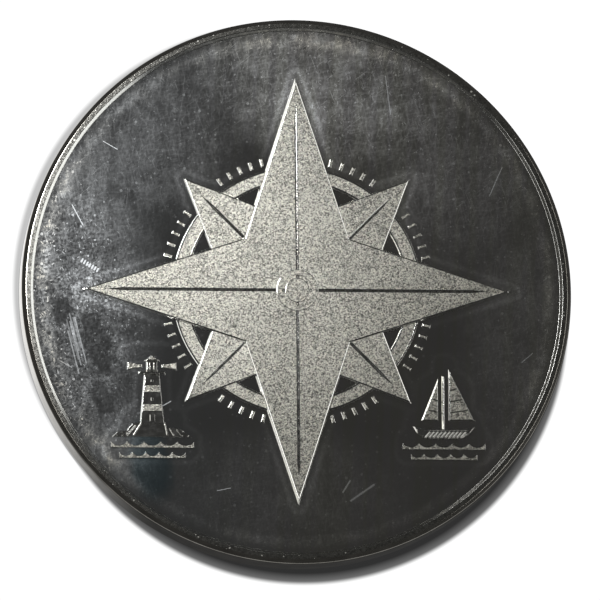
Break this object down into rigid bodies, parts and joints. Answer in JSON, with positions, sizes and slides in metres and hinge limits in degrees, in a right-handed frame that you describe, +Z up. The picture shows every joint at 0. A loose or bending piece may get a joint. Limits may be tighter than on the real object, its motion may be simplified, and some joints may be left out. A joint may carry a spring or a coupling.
{
  "type": "challenge coin",
  "caption": "Flat round struck coin with raised rims, a mirror field, a frosted compass rose over a graduated ring, and small lighthouse and sailing boat reliefs on its face.",
  "frame": {"origin": "middle of the underside, on the surface that the coin lies on", "axes": "+Z up out of the face with the design, along the coin's axis; +Y towards the top of the design"},
  "size_m": [0.045, 0.045, 0.0036],
  "materials": {
    "struck_silver": "proof strike: mirror-polished field and fine relief, sandblasted bold relief, worn polished rim"
  },
  "bodies": {
    "root": {"struck_coin": "struck_silver"}
  },
  "joints": []
}
